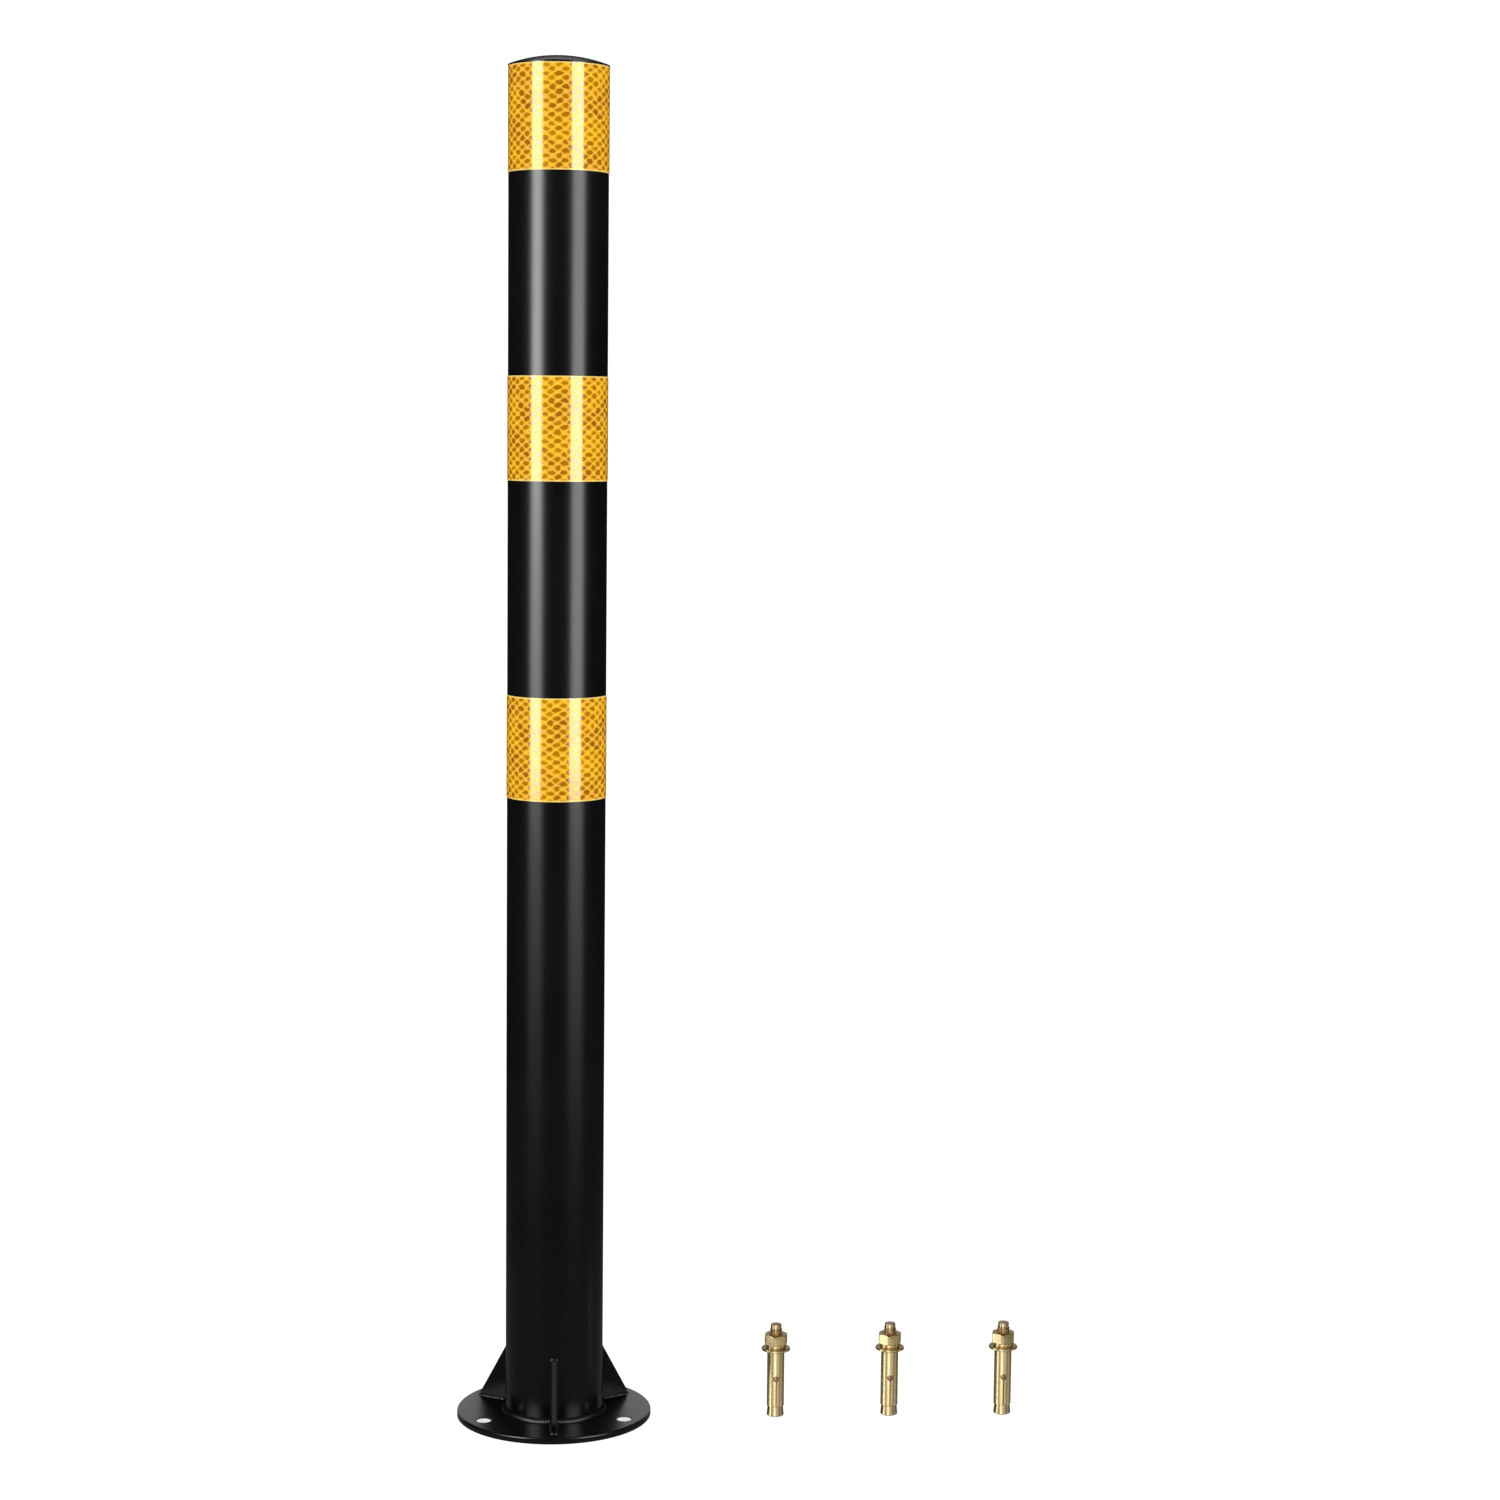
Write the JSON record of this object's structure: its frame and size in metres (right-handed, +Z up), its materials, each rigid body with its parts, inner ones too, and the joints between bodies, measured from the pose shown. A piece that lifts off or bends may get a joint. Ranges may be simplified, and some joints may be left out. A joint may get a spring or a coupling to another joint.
{
  "type": "steel safety bollard",
  "caption": "Surface-mounted round steel bollard with a domed cap, reflective tape bands, a gusseted round base plate and loose expansion sleeve anchors.",
  "frame": {"origin": "centre of the base plate's underside, on the ground and on the post's axis", "axes": "+Z up along the post, -Y towards the front gusset, +X towards the loose anchors"},
  "size_m": [0.4412, 0.152, 1.0502],
  "materials": {
    "black_powder_coat": "satin black powder coat",
    "reflective_tape": "glossy amber reflective tape with a cell pattern",
    "yellow_zinc": "iridescent yellow zinc plating"
  },
  "bodies": {
    "post": {"post_tube": "black_powder_coat", "top_cap": "black_powder_coat", "base_plate": "black_powder_coat", "tube_foot_weld": "black_powder_coat", "front_gusset": "black_powder_coat", "right_gusset": "black_powder_coat", "left_gusset": "black_powder_coat", "front_gusset_weld": "black_powder_coat", "right_gusset_weld": "black_powder_coat", "left_gusset_weld": "black_powder_coat", "top_reflective_band": "reflective_tape", "middle_reflective_band": "reflective_tape", "lower_reflective_band": "reflective_tape"},
    "anchor_1_stud": {"anchor_1_stud": "yellow_zinc"},
    "anchor_1_sleeve": {"anchor_1_sleeve": "yellow_zinc"},
    "anchor_1_flat_washer": {"anchor_1_flat_washer": "yellow_zinc"},
    "anchor_1_spring_washer": {"anchor_1_spring_washer": "yellow_zinc"},
    "anchor_1_nut": {"anchor_1_hex_nut": "yellow_zinc"},
    "anchor_2_stud": {"anchor_2_stud": "yellow_zinc"},
    "anchor_2_sleeve": {"anchor_2_sleeve": "yellow_zinc"},
    "anchor_2_flat_washer": {"anchor_2_flat_washer": "yellow_zinc"},
    "anchor_2_spring_washer": {"anchor_2_spring_washer": "yellow_zinc"},
    "anchor_2_nut": {"anchor_2_hex_nut": "yellow_zinc"},
    "anchor_3_stud": {"anchor_3_stud": "yellow_zinc"},
    "anchor_3_sleeve": {"anchor_3_sleeve": "yellow_zinc"},
    "anchor_3_flat_washer": {"anchor_3_flat_washer": "yellow_zinc"},
    "anchor_3_spring_washer": {"anchor_3_spring_washer": "yellow_zinc"},
    "anchor_3_nut": {"anchor_3_hex_nut": "yellow_zinc"}
  },
  "joints": [
    {"name": "anchor_1_lift", "type": "slide", "parent": "post", "child": "anchor_1_stud", "axis": [0, 0, 1], "range_m": [0, 0.1]},
    {"name": "anchor_1_sleeve_turn", "type": "hinge", "parent": "anchor_1_stud", "child": "anchor_1_sleeve", "pos_m": [0.174, -0.01, 0], "axis": [0, 0, 1], "continuous": true},
    {"name": "anchor_1_washer_turn", "type": "hinge", "parent": "anchor_1_stud", "child": "anchor_1_flat_washer", "pos_m": [0.174, -0.01, 0], "axis": [0, 0, 1], "continuous": true},
    {"name": "anchor_1_nut_spin", "type": "hinge", "parent": "anchor_1_stud", "child": "anchor_1_spring_washer", "pos_m": [0.174, -0.01, 0], "axis": [0, 0, 1], "range_deg": [0, 2520]},
    {"name": "anchor_1_nut_rise", "type": "slide", "parent": "anchor_1_spring_washer", "child": "anchor_1_nut", "axis": [0, 0, 1], "range_m": [0, 0.0105]},
    {"name": "anchor_2_lift", "type": "slide", "parent": "post", "child": "anchor_2_stud", "axis": [0, 0, 1], "range_m": [0, 0.1]},
    {"name": "anchor_2_sleeve_turn", "type": "hinge", "parent": "anchor_2_stud", "child": "anchor_2_sleeve", "pos_m": [0.264, -0.01, 0], "axis": [0, 0, 1], "continuous": true},
    {"name": "anchor_2_washer_turn", "type": "hinge", "parent": "anchor_2_stud", "child": "anchor_2_flat_washer", "pos_m": [0.264, -0.01, 0], "axis": [0, 0, 1], "continuous": true},
    {"name": "anchor_2_nut_spin", "type": "hinge", "parent": "anchor_2_stud", "child": "anchor_2_spring_washer", "pos_m": [0.264, -0.01, 0], "axis": [0, 0, 1], "range_deg": [0, 2520]},
    {"name": "anchor_2_nut_rise", "type": "slide", "parent": "anchor_2_spring_washer", "child": "anchor_2_nut", "axis": [0, 0, 1], "range_m": [0, 0.0105]},
    {"name": "anchor_3_lift", "type": "slide", "parent": "post", "child": "anchor_3_stud", "axis": [0, 0, 1], "range_m": [0, 0.1]},
    {"name": "anchor_3_sleeve_turn", "type": "hinge", "parent": "anchor_3_stud", "child": "anchor_3_sleeve", "pos_m": [0.354, -0.01, 0], "axis": [0, 0, 1], "continuous": true},
    {"name": "anchor_3_washer_turn", "type": "hinge", "parent": "anchor_3_stud", "child": "anchor_3_flat_washer", "pos_m": [0.354, -0.01, 0], "axis": [0, 0, 1], "continuous": true},
    {"name": "anchor_3_nut_spin", "type": "hinge", "parent": "anchor_3_stud", "child": "anchor_3_spring_washer", "pos_m": [0.354, -0.01, 0], "axis": [0, 0, 1], "range_deg": [0, 2520]},
    {"name": "anchor_3_nut_rise", "type": "slide", "parent": "anchor_3_spring_washer", "child": "anchor_3_nut", "axis": [0, 0, 1], "range_m": [0, 0.0105]}
  ],
  "couplings": [
    {"joint": "anchor_1_nut_rise", "follows": "anchor_1_nut_spin", "m_per_rad": 0.00023873},
    {"joint": "anchor_2_nut_rise", "follows": "anchor_2_nut_spin", "m_per_rad": 0.00023873},
    {"joint": "anchor_3_nut_rise", "follows": "anchor_3_nut_spin", "m_per_rad": 0.00023873}
  ]
}
